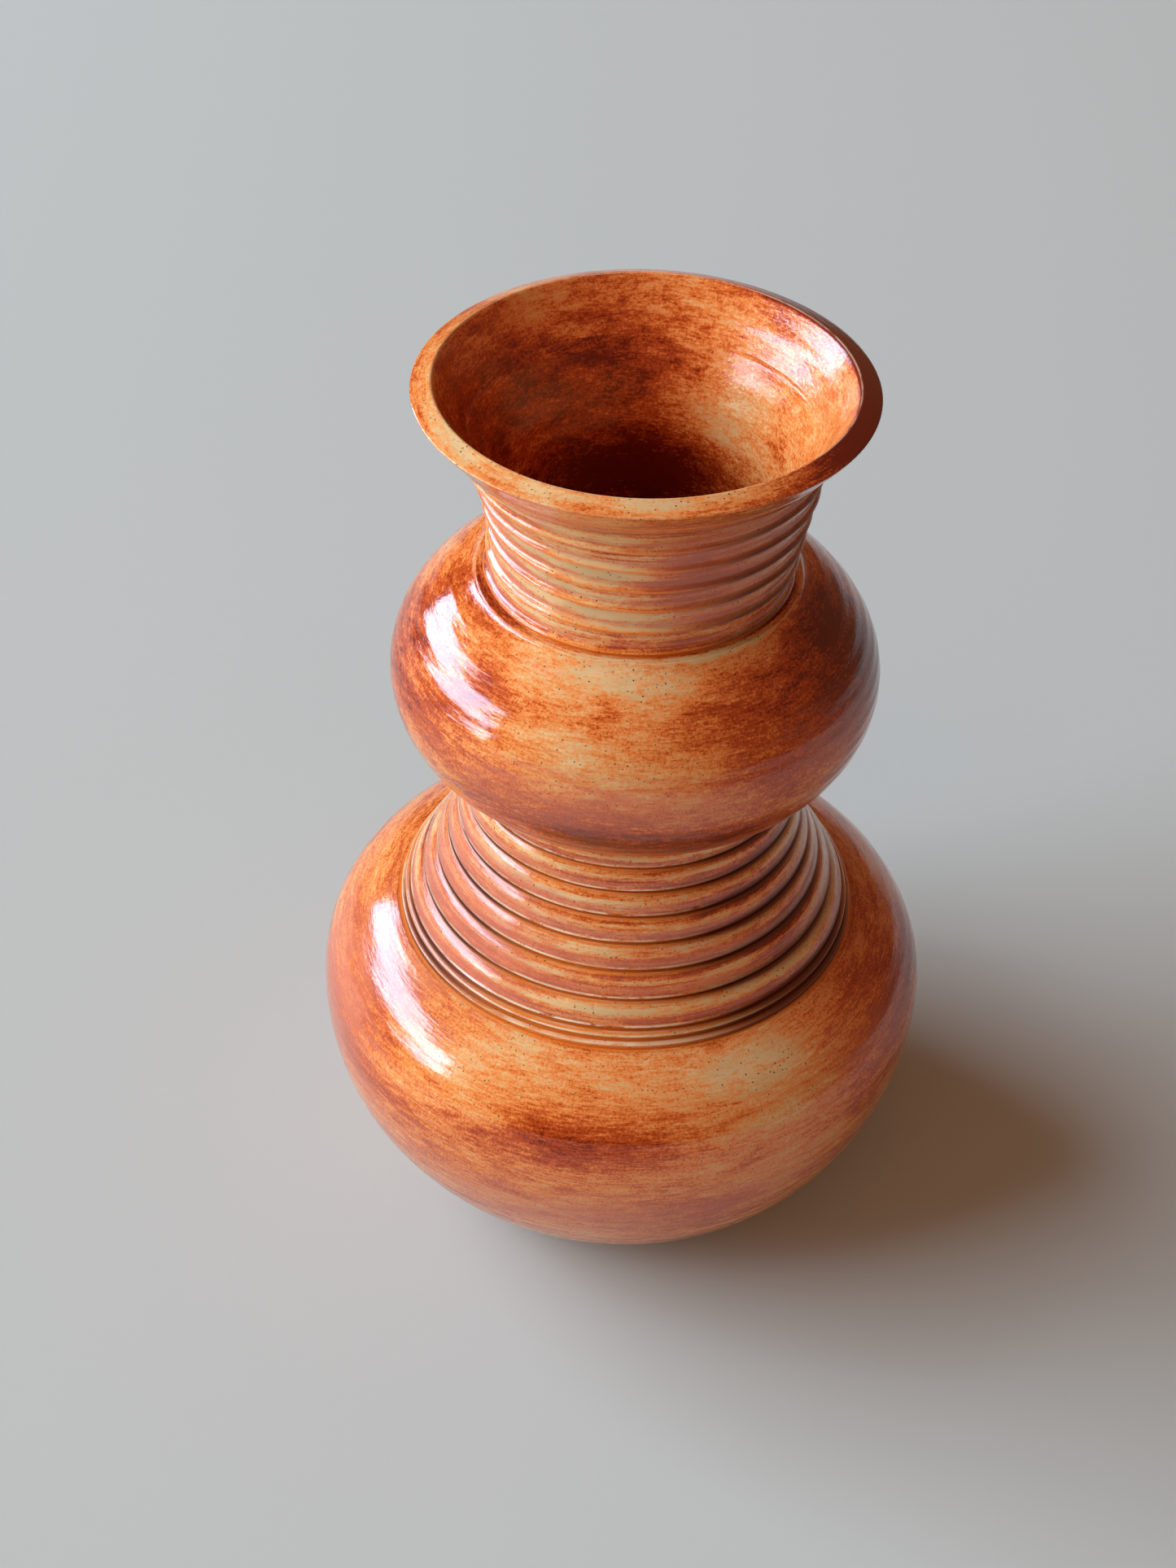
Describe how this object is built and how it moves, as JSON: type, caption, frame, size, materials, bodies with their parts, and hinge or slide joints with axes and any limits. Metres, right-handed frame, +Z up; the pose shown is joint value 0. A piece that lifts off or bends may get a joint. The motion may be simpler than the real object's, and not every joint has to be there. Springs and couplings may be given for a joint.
{
  "type": "vase",
  "caption": "Double-gourd stoneware vase: squat lower globe, ribbed conical shoulder, upper bulb, ribbed neck and flared bevelled rim, luted from thrown sections.",
  "frame": {"origin": "centre of the foot ring, on the surface that the vase stands on", "axes": "+Z up along the vase's axis; X and Y are any two directions across it, because the form is round"},
  "size_m": [0.1324, 0.1324, 0.2],
  "materials": {
    "rust_glaze": "gloss",
    "bare_stoneware": "matt"
  },
  "bodies": {
    "root": {"foot_ring": "bare_stoneware", "lower_globe": "rust_glaze", "ribbed_shoulder": "rust_glaze", "upper_bulb": "rust_glaze", "ribbed_neck": "rust_glaze", "flared_rim": "rust_glaze"}
  },
  "joints": []
}
